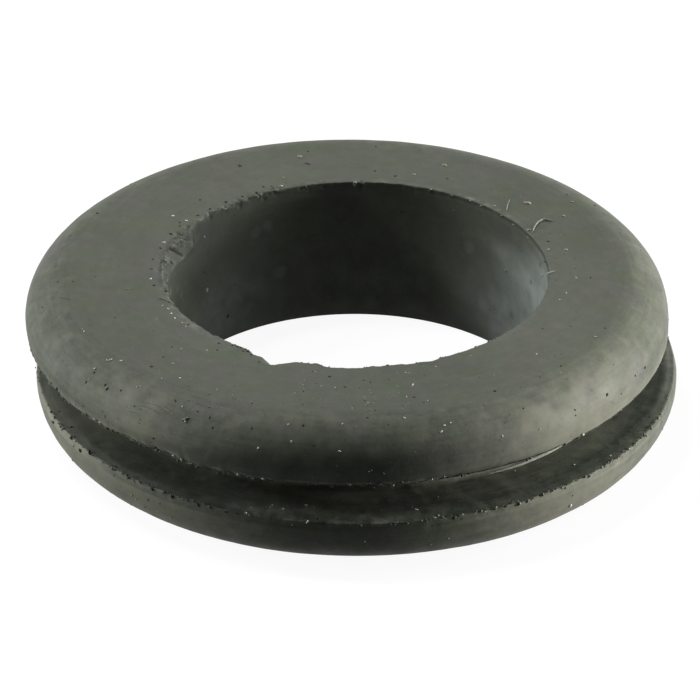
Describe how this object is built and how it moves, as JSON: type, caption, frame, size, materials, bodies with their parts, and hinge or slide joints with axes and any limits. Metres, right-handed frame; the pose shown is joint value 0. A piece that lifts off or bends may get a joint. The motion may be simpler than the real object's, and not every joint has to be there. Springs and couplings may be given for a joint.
{
  "type": "rubber grommet",
  "caption": "Moulded rubber panel grommet: a ring with a round bore, rolled-edge flanges and a groove between them that grips a sheet-metal hole.",
  "frame": {"origin": "on the bore's axis, in the plane of the lower flat face that the grommet rests on", "axes": "+Z along the bore, towards the upper flange; +X along the line in which the flanges are out of line with the bore, with the upper flange lying to the -X side"},
  "size_m": [0.0254, 0.025, 0.006],
  "materials": {
    "rubber": "matt black moulded rubber with a faint grey bloom, a soft sheen on its rolled edges and traces of dust"
  },
  "bodies": {
    "root": {"grommet": "rubber"}
  },
  "joints": []
}
